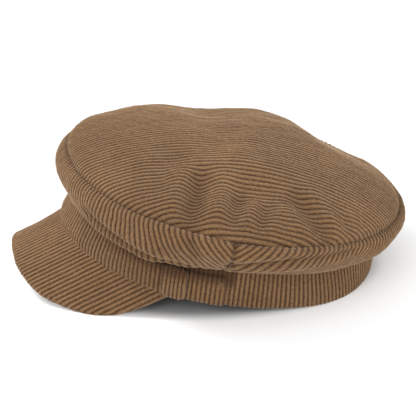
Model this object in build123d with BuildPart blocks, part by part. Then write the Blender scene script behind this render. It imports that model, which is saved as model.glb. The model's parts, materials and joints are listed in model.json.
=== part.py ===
"""Corduroy newsboy cap: a domed crown on an oval band, with a short steep peak.

The cap is modelled as it lies on a table, at rest on the back of its band and on the two
lower sides of its peak. Millimetres and degrees. +Z is up, the peak points to -Y, and the
wearer's left is +X. The origin is on the table, under the middle of the cap's overall box.
Each cloth layer is its own closed solid, with a small sewing gap to the next one.
"""

import os
from math import cos, radians, sin, sqrt

from build123d import *

# ---------------------------------------------------------------- head opening and cloths
head_length = 205.0  # inside the sweatband, front to back: with the width, a 58 cm head
head_width = 164.8  # inside the sweatband, side to side
sew_gap = 0.2  # between two cloth layers that are sewn together
corduroy = 1.6
sweat_cloth = 1.2
buckram = 0.8
lining_cloth = 0.6
board = 1.8

# ---------------------------------------------------------------- how the cap lies
pitch = 7.6  # the front of the opening is propped up by the peak
hem_middle = 11.2  # height of the opening's plane over the table, at its centre
head_y = 7.0  # centre of the opening, behind the origin
hem_rise = 33.3  # height of the hem at the very front
hem_run = head_length  # from the hem's lowest line at the back to the very front
hem_low_y = head_y + head_length / 2 + 3.2  # where the hem comes down to the table
hem_flat = 0.3  # how far the hem's curve is flattened by the table

# ---------------------------------------------------------------- band, strap and keepers
band_top = 34.0  # all heights below are over the opening's plane
sweat_top = 33.0
strap_width = 19.5
strap_thick = 2.0
strap_end_y = -3.0  # the strap stops just before the side seams
keeper_width = 14.5
keeper_y = -32.5
lip = 1.2  # how far a keeper reaches past the strap's two edges

# ---------------------------------------------------------------- crown
crown_tilt = 3.0  # the crown is puffed up a little more at the front
crown_back = 4.2  # the crown sits a little further back than the opening
seam_radius = head_length / 2 + 11.7  # the round seam between the top panel and the side
seam_height = 54.7
dome_height = 38.5  # of the top panel over its seam
edge_pull = 0.38  # how upright the dome stays over its seam, as a share of its height
middle_pull = 0.50  # how flat it stays about its middle, as a share of its radius
side_foot_height = 24.0  # the lower fold of the side, which hangs over the band
side_mid_height = 35.5
side_bulge_height = 46.0
side_bulge_width = seam_radius + 3.8  # half widths, at the fullest part
side_bulge_length = seam_radius + 5.8
flange_height = band_top  # cloth that runs in from the side, on top of the band
fold_clearance = 0.5  # between the strap's face and the side's lower fold

# ---------------------------------------------------------------- peak
peak_droop = 26.1  # below level, at the centre line
peak_arch_radius = 93.0
peak_clearance = 0.4  # between the peak's root and the strap's face
peak_cover_up = 0.6  # how far the peak's face comes up over the strap's lower edge
peak_turn_in = 2.2  # cloth turned in round the board's edge
peak_tail_y = -41.0  # the two tails of the peak stop in front of the keepers
peak_rim = [  # the rim seen from the side, from the middle of the opening: reach, height
    (-141.2, 20.4),
    (-136.8, 15.7),
    (-124.3, 8.2),
    (-108.8, 3.7),
    (-93.8, 0.7),
    (-83.8, 0.0),
    (-65.8, 3.5),
    (-40.0, 14.0),
]

# ---------------------------------------------------------------- labels
tape_width = 14.0
size_width = 11.0
size_height = 9.0
care_width = 24.0
care_low = 37.0
care_high = 49.0
label_cloth = 0.4

# ---------------------------------------------------------------- places worked out
normal = Vector(0, sin(radians(pitch)), cos(radians(pitch)))
cap = Plane(origin=(0, head_y, hem_middle), x_dir=(1, 0, 0), z_dir=normal)
crown_middle = cap.origin + cap.z_dir * seam_height + cap.y_dir * crown_back
crown = Plane(origin=crown_middle, x_dir=(1, 0, 0), z_dir=cap.z_dir).rotated((-crown_tilt, 0, 0))
bulge_middle = cap.origin + cap.z_dir * side_bulge_height + cap.y_dir * crown_back * 0.7
bulge = Plane(origin=bulge_middle, x_dir=(1, 0, 0), z_dir=cap.z_dir).rotated((-crown_tilt / 2, 0, 0))
profile = Plane(origin=crown.origin, x_dir=crown.x_dir, z_dir=-crown.y_dir)
axis = Axis(crown.origin, crown.z_dir)
hem_radius = (hem_run**2 + hem_rise**2) / (2 * hem_rise)
reach = 300.0  # longer than the cap, for cutting

sweat_in = 0.0  # each layer's distance out from the inside of the sweatband
sweat_out = sweat_in + sweat_cloth
stiff_in = sweat_out + sew_gap
stiff_out = stiff_in + buckram
band_in = stiff_out + sew_gap
band_out = band_in + corduroy
strap_in = band_out + sew_gap
strap_out = strap_in + strap_thick
keeper_in = strap_out + sew_gap
keeper_out = keeper_in + corduroy
flange_in = stiff_in


def half_axes(out):
    """Half the width and half the length of the oval that lies out from the head."""
    return head_width / 2 + out, head_length / 2 + out


def oval_ring(inner, outer, low=-40.0, high=80.0):
    """A ring of oval section about the head, between two heights over the opening."""
    with BuildPart() as ring:
        with BuildSketch(cap.offset(low)):
            Ellipse(*half_axes(outer))
            Ellipse(*half_axes(inner), mode=Mode.SUBTRACT)
        extrude(amount=high - low)
    return ring.part


def hem_height(y):
    """Height of the hem over the table at a place along the cap."""
    run = hem_low_y - y
    return hem_radius - hem_flat - sqrt(hem_radius**2 - run**2)


def oval_plug(out):
    """A tall solid that fills the oval about the head."""
    with BuildPart() as plug:
        with BuildSketch(cap.offset(-reach / 2)):
            Ellipse(*half_axes(out))
        extrude(amount=reach)
    return plug.part


def above_hem(inset=0.0):
    """All that is above the hem's curve, or above a parallel curve inset from it."""
    with BuildPart() as roller:
        with BuildSketch(Plane.YZ):
            with Locations((hem_low_y, hem_radius - hem_flat)):
                Circle(hem_radius - inset)
        extrude(amount=reach, both=True)
    return roller.part


def above_table():
    """All that is above the table."""
    with BuildPart() as block:
        with BuildSketch(Plane.XY):
            Rectangle(2 * reach, 2 * reach)
        extrude(amount=reach)
    return block.part


def between(y_low, y_high, x_size=2 * reach):
    """A block that stands on the opening's plane, between two places along it."""
    with BuildPart() as block:
        with BuildSketch(cap.offset(-reach / 2)):
            with Locations((0, (y_low + y_high) / 2)):
                Rectangle(x_size, y_high - y_low)
        extrude(amount=reach)
    return block.part


def between_heights(low, high):
    """A block between two heights over the opening."""
    with BuildPart() as block:
        with BuildSketch(cap.offset(low)):
            Rectangle(2 * reach, 2 * reach)
        extrude(amount=high - low)
    return block.part


def on_side(side):
    """All that is on the wearer's left (1) or right (-1)."""
    with BuildPart() as block:
        with BuildSketch(Plane.YZ):
            Rectangle(4 * reach, 4 * reach)
        extrude(amount=side * reach)
    return block.part


def finish(builder, name):
    """Labels a finished piece and writes its STEP file."""
    builder.part.label = name
    export_step(builder.part, f"parts/{name}.step")


os.makedirs("parts", exist_ok=True)

# ================================================================ band: five layers
with BuildPart() as band:
    add(oval_ring(band_in, band_out, high=band_top))
    add(above_hem(), mode=Mode.INTERSECT)
    add(above_table(), mode=Mode.INTERSECT)

with BuildPart() as band_front:
    add(band.part)
    add(between(-reach, 0), mode=Mode.INTERSECT)
finish(band_front, "band_front")

with BuildPart() as band_back:
    add(band.part)
    add(between(0, reach), mode=Mode.INTERSECT)
finish(band_back, "band_back")

hem_turning = 1.6  # the inner layers stop this far above the hem
with BuildPart() as band_stiffener:
    add(oval_ring(stiff_in, stiff_out, high=sweat_top))
    add(above_hem(hem_turning), mode=Mode.INTERSECT)
finish(band_stiffener, "band_stiffener")

sweat_slit = 0.8  # where the two ends of the sweatband meet, at the back
with BuildPart() as sweatband:
    add(oval_ring(sweat_in, sweat_out, high=sweat_top))
    add(between(0, reach, sweat_slit), mode=Mode.SUBTRACT)
    add(above_hem(hem_turning), mode=Mode.INTERSECT)
finish(sweatband, "sweatband")

tape_thick = 0.5
tape_face = sweat_in - sew_gap - tape_thick
tape_margin = 4.0  # the tape stops short of the sweatband's top and foot
with BuildPart() as sweatband_joint_tape:
    add(oval_ring(tape_face, tape_face + tape_thick, high=sweat_top - tape_margin))
    add(above_hem(hem_turning + tape_margin), mode=Mode.INTERSECT)
    add(between(0, reach, tape_width), mode=Mode.INTERSECT)
finish(sweatband_joint_tape, "sweatband_joint_tape")

# ================================================================ strap and its keepers
with BuildPart() as front_strap:
    add(oval_ring(strap_in, strap_out))
    add(above_hem(), mode=Mode.INTERSECT)
    add(above_hem(strap_width), mode=Mode.SUBTRACT)
    add(between(-reach, strap_end_y), mode=Mode.INTERSECT)
finish(front_strap, "front_strap")

with BuildPart() as keeper_pair:
    add(oval_ring(keeper_in, keeper_out))
    add(above_hem(-lip), mode=Mode.INTERSECT)
    add(above_hem(strap_width + lip), mode=Mode.SUBTRACT)
    add(between(keeper_y - keeper_width / 2, keeper_y + keeper_width / 2), mode=Mode.INTERSECT)

with BuildPart() as strap_keeper_left:
    add(keeper_pair.part)
    add(on_side(1), mode=Mode.INTERSECT)
finish(strap_keeper_left, "strap_keeper_left")

with BuildPart() as strap_keeper_right:
    add(keeper_pair.part)
    add(on_side(-1), mode=Mode.INTERSECT)
finish(strap_keeper_right, "strap_keeper_right")

tack_size = 1.0
tack_rise = 0.6
tack_gap = 0.1
tack_inset = 3.0  # from the strap's end and from its two edges
tack_y = strap_end_y - tack_inset
with BuildPart() as strap_end_tacks:
    add(oval_ring(strap_out + tack_gap, strap_out + tack_gap + tack_rise))
    add(above_hem(tack_inset), mode=Mode.INTERSECT)
    add(above_hem(strap_width - tack_inset), mode=Mode.SUBTRACT)
    add(between(tack_y - tack_size, tack_y), mode=Mode.INTERSECT)
finish(strap_end_tacks, "strap_end_tacks")

# ================================================================ crown side
foot_out = strap_out + fold_clearance + corduroy
foot_x, foot_y = half_axes(foot_out)
mid_share = 0.62  # of the way from the foot's oval to the round bulge
mid_x = foot_x + mid_share * (side_bulge_width - foot_x)
mid_y = foot_y + mid_share * (side_bulge_length - foot_y)


def inside_side(inset):
    """The solid inside the crown's side, inset from the side's outer face."""
    with BuildPart() as block:
        with BuildSketch(cap.offset(side_foot_height)):
            Ellipse(foot_x - inset, foot_y - inset)
        with BuildSketch(cap.offset(side_mid_height)):
            Ellipse(mid_x - inset, mid_y - inset)
        with BuildSketch(bulge):
            Ellipse(side_bulge_width - inset, side_bulge_length - inset)
        with BuildSketch(crown):
            Circle(seam_radius - inset)
        loft()
    return block.part


def side_skin(inset, thickness, shelf_low):
    """The side's wall at a depth under its face, with a shelf that runs in to the band."""
    with BuildPart() as wall:
        add(inside_side(inset))
        add(inside_side(inset + thickness), mode=Mode.SUBTRACT)
    with BuildPart() as shelf:
        add(inside_side(inset + thickness / 2))
        add(between_heights(shelf_low, shelf_low + thickness), mode=Mode.INTERSECT)
        add(oval_plug(flange_in), mode=Mode.SUBTRACT)
    with BuildPart() as skin:
        add(wall.part)
        add(shelf.part)
    return skin.part


with BuildPart() as crown_side:
    add(side_skin(0, corduroy, flange_height))

with BuildPart() as crown_side_front:
    add(crown_side.part)
    add(between(-reach, 0), mode=Mode.INTERSECT)
finish(crown_side_front, "crown_side_front")

with BuildPart() as crown_side_back:
    add(crown_side.part)
    add(between(0, reach), mode=Mode.INTERSECT)
finish(crown_side_back, "crown_side_back")


# ================================================================ top panel and its layers
def dome_points(inset):
    """Four control points of the dome's profile, from the seam to the middle."""
    wide = seam_radius - inset
    tall = dome_height - inset
    return [
        (wide, 0),
        (wide, tall * edge_pull),
        (wide * middle_pull, tall),
        (0, tall),
    ]


def dome(inset, thickness):
    """A domed sheet under the top panel's face, down to the height of the seam."""
    outer = dome_points(inset)
    inner = dome_points(inset + thickness)
    with BuildPart() as sheet:
        with BuildSketch(profile):
            with BuildLine():
                Bezier(*outer)
                Bezier(*inner)
                Line(outer[0], inner[0])
                Line(outer[-1], inner[-1])
            make_face()
        revolve(axis=axis)
    return sheet.part


with BuildPart() as crown_top:
    add(dome(0, corduroy))
finish(crown_top, "crown_top")

pad_in = corduroy + sew_gap
with BuildPart() as crown_interlining:
    add(dome(pad_in, buckram))
finish(crown_interlining, "crown_interlining")

lining_in = pad_in + buckram + sew_gap
with BuildPart() as lining_top:
    add(dome(lining_in, lining_cloth))
finish(lining_top, "lining_top")

lining_foot = flange_height + corduroy
with BuildPart() as lining_side:
    add(side_skin(lining_in, lining_cloth, lining_foot))
    add(between_heights(lining_foot, 2 * seam_height), mode=Mode.INTERSECT)
finish(lining_side, "lining_side")

# ================================================================ labels inside
size_top = sweat_top - tape_margin - 2.0
size_face = tape_face - sew_gap - label_cloth
with BuildPart() as size_label:
    add(oval_ring(size_face, size_face + label_cloth, size_top - size_height, size_top))
    add(between(0, reach, size_width), mode=Mode.INTERSECT)
finish(size_label, "size_label")

lining_face = lining_in + lining_cloth + sew_gap
with BuildPart() as care_label:
    add(inside_side(lining_face))
    add(inside_side(lining_face + label_cloth), mode=Mode.SUBTRACT)
    add(between_heights(care_low, care_high), mode=Mode.INTERSECT)
    add(between(0, reach, care_width), mode=Mode.INTERSECT)
finish(care_label, "care_label")

# ================================================================ peak
strap_x, strap_y = half_axes(strap_out + peak_clearance)
root_y = head_y - strap_y * cos(radians(pitch))
root_z = hem_height(root_y) + peak_cover_up
forward = Vector(0, -cos(radians(peak_droop)), -sin(radians(peak_droop)))
peak_plane = Plane(origin=(0, root_y, root_z), x_dir=(1, 0, 0), z_dir=forward)


def above_rim(inset):
    """All that is inside the peak's rim, or inside a line inset from it."""
    points = [(head_y + along + inset, height + inset) for along, height in peak_rim]
    with BuildPart() as block:
        with BuildSketch(Plane.YZ):
            with BuildLine():
                rim = Spline(*points)
                Line(rim @ 1, (reach, (rim @ 1).Z))
                Line((reach, (rim @ 1).Z), (reach, reach))
                Line((reach, reach), ((rim @ 0).Y, reach))
                Line(((rim @ 0).Y, reach), rim @ 0)
            make_face()
        extrude(amount=reach, both=True)
    return block.part


def peak_sheet(depth, thickness, inset=0.0):
    """A curved sheet of the peak, at a depth under its upper face."""
    with BuildPart() as sheet:
        with BuildSketch(peak_plane.offset(-reach / 2)):
            with Locations((0, -peak_arch_radius)):
                Circle(peak_arch_radius - depth)
                Circle(peak_arch_radius - depth - thickness, mode=Mode.SUBTRACT)
            with Locations((0, -reach - peak_arch_radius)):
                Rectangle(reach, 2 * reach, mode=Mode.SUBTRACT)
        extrude(amount=reach)
        add(above_rim(inset), mode=Mode.INTERSECT)
        add(between(-reach, peak_tail_y - inset), mode=Mode.INTERSECT)
        add(oval_plug(strap_out + peak_clearance + inset / 2), mode=Mode.SUBTRACT)
    return sheet.part


with BuildPart() as peak_board:
    add(peak_sheet(corduroy + sew_gap, board, peak_turn_in))
finish(peak_board, "peak_board")

with BuildPart() as peak_under_cover:
    add(peak_sheet(corduroy + board + 2 * sew_gap, corduroy))
finish(peak_under_cover, "peak_under_cover")

with BuildPart() as peak_top_cover:
    add(peak_sheet(0, corduroy))
finish(peak_top_cover, "peak_top_cover")
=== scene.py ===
"""How the corduroy cap looks: ribbed cloth panels, seams, folds, stitches, lining and stage.

Shapes are worked out in millimetres in the cap's own two planes and turned into metres when
a mesh is made. "Round" angles start at the front of the cap and grow towards the wearer's left.
"""

import json
import math

import bmesh
import bpy
import numpy as np
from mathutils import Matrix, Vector

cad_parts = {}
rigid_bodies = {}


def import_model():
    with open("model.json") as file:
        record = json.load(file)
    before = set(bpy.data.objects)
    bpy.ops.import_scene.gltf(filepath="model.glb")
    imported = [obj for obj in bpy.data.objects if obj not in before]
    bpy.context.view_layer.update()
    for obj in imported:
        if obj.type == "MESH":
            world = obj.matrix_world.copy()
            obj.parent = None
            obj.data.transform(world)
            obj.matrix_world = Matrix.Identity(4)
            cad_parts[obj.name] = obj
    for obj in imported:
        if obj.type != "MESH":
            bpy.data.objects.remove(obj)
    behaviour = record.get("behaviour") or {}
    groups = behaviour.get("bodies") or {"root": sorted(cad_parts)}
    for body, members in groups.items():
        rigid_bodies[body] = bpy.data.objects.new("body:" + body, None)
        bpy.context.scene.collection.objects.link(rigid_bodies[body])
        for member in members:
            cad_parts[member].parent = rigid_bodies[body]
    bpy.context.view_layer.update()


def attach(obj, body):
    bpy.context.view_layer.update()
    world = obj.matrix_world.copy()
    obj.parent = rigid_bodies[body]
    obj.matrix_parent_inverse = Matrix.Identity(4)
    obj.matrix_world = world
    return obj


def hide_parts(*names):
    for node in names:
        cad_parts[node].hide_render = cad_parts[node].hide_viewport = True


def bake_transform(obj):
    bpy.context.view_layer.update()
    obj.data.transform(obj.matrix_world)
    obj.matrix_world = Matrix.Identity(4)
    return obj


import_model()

# ---------------------------------------------------------------- sizes of the cap (mm)
HEAD_Y = 7.0
PLANE_Z = 11.2
PITCH = math.radians(7.6)
CROWN_PITCH = math.radians(10.6)
SEAM_HEIGHT = 54.7
CROWN_BACK = 4.2
SEAM_RADIUS = 114.2
DOME_HEIGHT = 38.5
EDGE_PULL = 0.38
MIDDLE_PULL = 0.50
BAND = (86.4, 106.5)  # half width and half length of the band's outer face
STRAP = (88.6, 108.7)
SWEATBAND = (82.4, 102.5)
STIFFENER = (84.3, 104.4)
LINING_FOOT = (82.8, 102.9)
STRAP_WIDTH = 19.5
HEM_LOW_Y = HEAD_Y + 105.7
HEM_RUN = 205.0  # from the hem's lowest line at the back to its very front
HEM_RISE = 33.3
HEM_RADIUS = (HEM_RUN**2 + HEM_RISE**2) / (2 * HEM_RISE)
HEM_FLAT = 0.3
ROOT_Y, ROOT_Z = -101.14, 36.62
DROOP = math.radians(26.1)
ARCH = 93.0
RIM = [
    (-141.2, 20.4),
    (-136.8, 15.7),
    (-124.3, 8.2),
    (-108.8, 3.7),
    (-93.8, 0.7),
    (-83.8, 0.0),
    (-65.8, 3.5),
    (-40.0, 14.0),
    (-30.0, 18.0),
]
TAIL_Y = -35.0
TABLE_GAP = 0.03  # the cloth lies this far over the table
SIDE_ARC = 112.0  # radius at which places round the side are measured

WALE = 3.1  # from one rib to the next
RIB = 0.75  # height of a rib over its grooves


# ---------------------------------------------------------------- places
def stack(x, y, z):
    """Three arrays as one array of points."""
    return np.stack(np.broadcast_arrays(x, y, z), axis=-1).astype(float)


def cap_point(x, y, h):
    """A point given in the plane of the opening."""
    c, s = math.cos(PITCH), math.sin(PITCH)
    return stack(x, HEAD_Y + y * c + h * s, PLANE_Z + h * c - y * s)


CROWN_MIDDLE = cap_point(0.0, CROWN_BACK, SEAM_HEIGHT)


def crown_point(x, y, h):
    """A point given in the plane of the crown's round seam."""
    c, s = math.cos(CROWN_PITCH), math.sin(CROWN_PITCH)
    return CROWN_MIDDLE + stack(x, y * c + h * s, h * c - y * s)


def hem_height(x, y):
    """Height of the hem over the plane of the opening."""
    c, s = math.cos(PITCH), math.sin(PITCH)
    h = np.zeros(np.broadcast(x, y).shape)
    for _ in range(8):
        run = HEM_LOW_Y - (HEAD_Y + y * c + h * s)
        z = HEM_RADIUS - HEM_FLAT - np.sqrt(HEM_RADIUS**2 - run**2)
        h = (np.maximum(z, 0.0) - PLANE_Z + y * s) / c
    return h


def from_front(around):
    """A round angle brought between half a turn to the right and half a turn to the left."""
    return np.angle(np.exp(1j * around))


def smooth_line(points, count=400):
    """A smooth curve through points, as evenly spread samples."""
    p = np.array(points, float)
    ends = np.vstack([2 * p[0] - p[1], p, 2 * p[-1] - p[-2]])
    out = []
    for i in range(len(p) - 1):
        a, b, c, d = ends[i : i + 4]
        t = np.linspace(0, 1, 60, endpoint=False)[:, None]
        square = (2 * a - 5 * b + 4 * c - d) * t**2
        cube = (3 * b - a - 3 * c + d) * t**3
        out.append(0.5 * (2 * b + (c - a) * t + square + cube))
    line = np.vstack(out + [p[-1:]])
    far = np.concatenate([[0], np.cumsum(np.linalg.norm(np.diff(line, axis=0), axis=1))])
    even = np.linspace(0, far[-1], count)
    return np.stack([np.interp(even, far, line[:, k]) for k in range(line.shape[1])], -1)


def waves(a, b, seed, size, parts=7):
    """Smooth, repeatable unevenness between about -1 and 1, with features of about a size."""
    rng = np.random.default_rng(seed)
    total = np.zeros(np.broadcast(a, b).shape)
    for _ in range(parts):
        turn = rng.uniform(0, 2 * math.pi)
        length = size * rng.uniform(0.7, 1.6)
        phase = rng.uniform(0, 2 * math.pi)
        total += np.sin(2 * math.pi * (a * math.cos(turn) + b * math.sin(turn)) / length + phase)
    return total / math.sqrt(parts) * 0.7


def rise(t, low, high):
    """0 before low, 1 after high, smooth between."""
    k = np.clip((t - low) / (high - low), 0, 1)
    return k * k * (3 - 2 * k)


def crease(a, b, start, end, width, depth, shoulder=0.45):
    """A valley along a straight line between two places, with a low swell on each side."""
    sa, sb = start
    da, db = end[0] - sa, end[1] - sb
    length2 = da * da + db * db
    t = np.clip(((a - sa) * da + (b - sb) * db) / length2, 0, 1)
    off = np.hypot(a - sa - t * da, b - sb - t * db) / width
    along = ((a - sa) * da + (b - sb) * db) / length2
    fade = rise(along, -0.15, 0.25) * (1 - rise(along, 0.75, 1.15))
    return depth * fade * (-np.exp(-(off**2)) + shoulder * np.exp(-((off - 2.0) ** 2)))


# ---------------------------------------------------------------- ribbed sheets
SHARES = (0.0, 0.13, 0.30, 0.50, 0.70, 0.87)


def rib_places(low, high, pitch=WALE):
    """Places across the ribs, dense enough to draw each one, with a groove at zero."""
    first = math.floor(low / pitch)
    last = math.ceil(high / pitch)
    places = [(n + s) * pitch for n in range(first, last + 1) for s in SHARES]
    inside = [p for p in places if low + 0.05 < p < high - 0.05]
    return np.array([low] + inside + [high])


def rib(phase):
    """Height of the cloth across its ribs: round ridges with narrow grooves."""
    f = phase - np.floor(phase)
    to_crest = 1 - np.abs(2 * f - 1)
    return 1 - (1 - to_crest) ** 2.0


def normals_of(p):
    """Unit normals of a grid of points, from its two directions."""
    du = np.gradient(p, axis=0)
    dv = np.gradient(p, axis=1)
    n = np.cross(du, dv)
    return n / np.maximum(np.linalg.norm(n, axis=-1, keepdims=True), 1e-9)


def grid_mesh(name, points, uv, weights=None, flip=False, merge=1e-6):
    """A mesh object from a grid of points in millimetres, with its ribs' coordinates as UVs.

    What would reach under the table lies flat on it.
    """
    points = points.copy()
    points[..., 2] = np.maximum(points[..., 2], TABLE_GAP)
    rows, cols = points.shape[:2]
    index = np.arange(rows * cols).reshape(rows, cols)
    quads = np.stack([index[:-1, :-1], index[1:, :-1], index[1:, 1:], index[:-1, 1:]], -1).reshape(-1, 4)
    if flip:
        quads = quads[:, ::-1]
    mesh = bpy.data.meshes.new(name)
    mesh.from_pydata((points.reshape(-1, 3) * 0.001).tolist(), [], quads.tolist())
    layer = mesh.uv_layers.new(name="Ribs")
    loops = np.empty(len(mesh.loops), dtype=np.int32)
    mesh.loops.foreach_get("vertex_index", loops)
    layer.data.foreach_set("uv", uv.reshape(-1, 2)[loops].astype(np.float32).ravel())
    for key, values in (weights or {}).items():
        attribute = mesh.attributes.new(key, "FLOAT", "POINT")
        attribute.data.foreach_set("value", np.asarray(values, np.float32).ravel())
    tidy = bmesh.new()
    tidy.from_mesh(mesh)
    bmesh.ops.remove_doubles(tidy, verts=tidy.verts, dist=merge)
    bmesh.ops.dissolve_degenerate(tidy, edges=tidy.edges, dist=1e-7)
    tidy.to_mesh(mesh)
    tidy.free()
    mesh.shade_smooth()
    obj = bpy.data.objects.new(name, mesh)
    bpy.context.scene.collection.objects.link(obj)
    return obj


def ribbed(name, points, across, along, material, height=RIB, flip=False, shade=None, pitch=WALE):
    """A sheet of corduroy over a smooth grid: ribs, uneven pile, worn places and painted shade."""
    n = normals_of(points)
    if flip:
        n = -n
    phase = across / pitch
    lively = 1 + 0.22 * waves(across, along, 11, 24) + 0.10 * waves(across, along, 12, 7)
    lift = rib(phase) * height * lively + 0.10 * waves(across * 2.2, along, 13, 9)
    lifted = points + n * lift[..., None]
    uv = np.stack(np.broadcast_arrays(phase, along / 10.0), -1)
    # the depth attribute carries painted shade: how far the colour is darkened towards the groove colour
    # where shade falls
    weights = {"depth": np.zeros(lift.shape) if shade is None else shade}
    obj = grid_mesh(name, lifted, uv, weights, flip)
    obj.data.materials.append(material)
    return obj


# ---------------------------------------------------------------- materials
def new_material(name):
    """A material with only a Principled shader, and its node tree."""
    material = bpy.data.materials.new(name)
    material.use_nodes = True
    tree = material.node_tree
    return material, tree, tree.nodes["Principled BSDF"]


def shader_group(name, inputs, outputs):
    """An empty shader node group with named sockets."""
    group = bpy.data.node_groups.new(name, "ShaderNodeTree")
    for label, kind, value in inputs:
        socket = group.interface.new_socket(label, in_out="INPUT", socket_type=kind)
        if value is not None:
            socket.default_value = value
    for label, kind in outputs:
        group.interface.new_socket(label, in_out="OUTPUT", socket_type=kind)
    return group, group.nodes.new("NodeGroupInput"), group.nodes.new("NodeGroupOutput")


def math_node(group, operation, a, b=None, clamp=False):
    """A math node fed by sockets or numbers; returns its output."""
    node = group.nodes.new("ShaderNodeMath")
    node.operation = operation
    node.use_clamp = clamp
    for slot, value in zip(node.inputs, (a, b)):
        if value is None:
            continue
        if isinstance(value, (int, float)):
            slot.default_value = value
        else:
            group.links.new(value, slot)
    return node.outputs[0]


def mix_colours(group, factor, a, b, kind="MIX"):
    """A colour mix node; returns its result."""
    node = group.nodes.new("ShaderNodeMix")
    node.data_type = "RGBA"
    node.blend_type = kind
    for slot, value in ((node.inputs[0], factor), (node.inputs[6], a), (node.inputs[7], b)):
        if isinstance(value, (int, float, tuple)):
            slot.default_value = value
        else:
            group.links.new(value, slot)
    return node.outputs[2]


def noise_node(group, vector, scale, detail=2.0, rough=0.5):
    """A noise texture; returns its value."""
    node = group.nodes.new("ShaderNodeTexNoise")
    node.inputs["Scale"].default_value = scale
    node.inputs["Detail"].default_value = detail
    node.inputs["Roughness"].default_value = rough
    group.links.new(vector, node.inputs["Vector"])
    return node.outputs["Fac"]


def corduroy_group():
    """Colour and surface of corduroy: ridges painted lighter as if lit, grooves painted darker as their
    shade, brushed pile and light wear.
    """
    group, source, result = shader_group(
        "Corduroy cloth",
        [
            ("Ribs", "NodeSocketVector", None),
            ("Place", "NodeSocketVector", None),
            ("Ridge", "NodeSocketColor", (0.30, 0.18, 0.09, 1)),
            ("Groove", "NodeSocketColor", (0.05, 0.03, 0.015, 1)),
            ("Dusting", "NodeSocketFloat", 0.25),
            ("Depth", "NodeSocketFloat", 0.0),
        ],
        [("Colour", "NodeSocketColor"), ("Normal", "NodeSocketVector")],
    )
    links = group.links
    split = group.nodes.new("ShaderNodeSeparateXYZ")
    links.new(source.outputs["Ribs"], split.inputs[0])
    part = math_node(group, "FRACT", split.outputs[0])
    crest = math_node(group, "MULTIPLY_ADD", part, 2.0)
    crest.node.inputs[2].default_value = -1.0
    crest = math_node(group, "ABSOLUTE", crest)
    crest = math_node(group, "SUBTRACT", 1.0, crest)
    ridge = math_node(group, "POWER", math_node(group, "SUBTRACT", 1.0, crest), 1.5)
    ridge = math_node(group, "SUBTRACT", 1.0, ridge, clamp=True)
    tuft = group.nodes.new("ShaderNodeCombineXYZ")
    links.new(math_node(group, "MULTIPLY", split.outputs[0], 2.2), tuft.inputs[0])
    links.new(math_node(group, "MULTIPLY", split.outputs[1], 5.5), tuft.inputs[1])
    tufts = noise_node(group, tuft.outputs[0], 1.0, 2.5, 0.6)
    fibres = noise_node(group, source.outputs["Place"], 1500.0, 2.0, 0.6)
    patches = noise_node(group, source.outputs["Place"], 26.0, 3.0, 0.55)
    edge = math_node(group, "MULTIPLY_ADD", tufts, 1.3)
    edge.node.inputs[2].default_value = -0.72
    ridge = math_node(group, "ADD", ridge, edge, clamp=True)
    # painted light and shade: the ridges take the lighter ridge colour, as if lit, and the grooves the darker
    # groove colour, as their shade
    colour = mix_colours(group, ridge, source.outputs["Groove"], source.outputs["Ridge"])
    pale = mix_colours(group, 1.0, source.outputs["Ridge"], (1.7, 1.65, 1.6, 1), "MULTIPLY")
    worn = math_node(group, "SUBTRACT", patches, 0.42, clamp=True)
    worn = math_node(group, "MULTIPLY", worn, ridge)
    worn = math_node(group, "MULTIPLY", worn, source.outputs["Dusting"])
    worn = math_node(group, "MULTIPLY", worn, 4.0, clamp=True)
    colour = mix_colours(group, worn, colour, pale)
    speck = math_node(group, "MULTIPLY_ADD", fibres, 2.1)
    speck.node.inputs[2].default_value = -0.05
    grey = group.nodes.new("ShaderNodeCombineXYZ")
    for k in range(3):
        links.new(speck, grey.inputs[k])
    colour = mix_colours(group, 0.8, colour, grey.outputs[0], "MULTIPLY")
    # painted shade: the colour is darkened towards the groove colour by the painted shade input
    dark = math_node(group, "MULTIPLY", source.outputs["Depth"], 0.75, clamp=True)
    colour = mix_colours(group, dark, colour, source.outputs["Groove"])
    links.new(colour, result.inputs["Colour"])
    height = math_node(group, "MULTIPLY", ridge, 0.6)
    height = math_node(group, "ADD", height, math_node(group, "MULTIPLY", fibres, 0.5))
    height = math_node(group, "ADD", height, math_node(group, "MULTIPLY", tufts, 0.5))
    bump = group.nodes.new("ShaderNodeBump")
    bump.inputs["Strength"].default_value = 0.55
    bump.inputs["Distance"].default_value = 0.0004
    links.new(height, bump.inputs["Height"])
    links.new(bump.outputs[0], result.inputs["Normal"])
    return group


CORDUROY = corduroy_group()


def corduroy_material(name, ridge, groove, dusting):
    """Corduroy in a colour."""
    material, tree, shader = new_material(name)
    cloth = tree.nodes.new("ShaderNodeGroup")
    cloth.node_tree = CORDUROY
    ribs = tree.nodes.new("ShaderNodeUVMap")
    ribs.uv_map = "Ribs"
    place = tree.nodes.new("ShaderNodeTexCoord")
    # the depth attribute carries painted shade into the cloth's colour
    depth = tree.nodes.new("ShaderNodeAttribute")
    depth.attribute_name = "depth"
    tree.links.new(ribs.outputs[0], cloth.inputs["Ribs"])
    tree.links.new(place.outputs["Object"], cloth.inputs["Place"])
    tree.links.new(depth.outputs["Fac"], cloth.inputs["Depth"])
    cloth.inputs["Ridge"].default_value = ridge
    cloth.inputs["Groove"].default_value = groove
    cloth.inputs["Dusting"].default_value = dusting
    tree.links.new(cloth.outputs["Colour"], shader.inputs["Base Color"])
    tree.links.new(cloth.outputs["Normal"], shader.inputs["Normal"])
    shader.inputs["Roughness"].default_value = 0.9
    shader.inputs["Specular IOR Level"].default_value = 0.15
    shader.inputs["Sheen Weight"].default_value = 0.35
    shader.inputs["Sheen Roughness"].default_value = 0.45
    shader.inputs["Sheen Tint"].default_value = (0.80, 0.62, 0.45, 1)
    return material


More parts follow.
